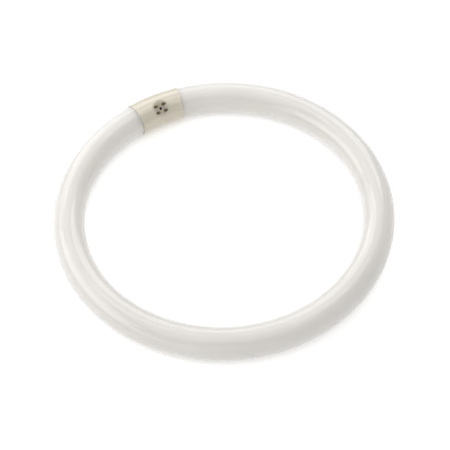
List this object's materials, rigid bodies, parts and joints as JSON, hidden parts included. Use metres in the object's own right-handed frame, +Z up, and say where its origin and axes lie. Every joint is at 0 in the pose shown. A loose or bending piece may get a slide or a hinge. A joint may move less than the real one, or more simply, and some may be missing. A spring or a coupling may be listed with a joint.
{
  "type": "circular fluorescent tube",
  "caption": "Ring-shaped fluorescent lamp: a white coated glass tube bent into a circle, its ends joined by a moulded base with brass contact pins that point inwards and up.",
  "frame": {"origin": "centre of the ring, on the surface that it lies on", "axes": "+Z up along the ring's axis, on the side that the pins tilt to; +Y from the centre to the base; +X along the tube at the base"},
  "size_m": [0.3048, 0.3057, 0.0346],
  "materials": {
    "coated_glass": "smooth clear glass over a white coating that hides the inside",
    "base_plastic": "moulded, warm off-white, satin",
    "pin_brass": "drawn, slightly tarnished",
    "wire_metal": "bare drawn wire"
  },
  "bodies": {
    "root": {"glass_tube": "coated_glass", "base_pin_half": "base_plastic", "base_back_half": "base_plastic", "contact_pin_1": "pin_brass", "contact_pin_2": "pin_brass", "contact_pin_3": "pin_brass", "contact_pin_4": "pin_brass", "lead_wire_1": "wire_metal", "lead_wire_2": "wire_metal", "lead_wire_3": "wire_metal", "lead_wire_4": "wire_metal"}
  },
  "joints": []
}
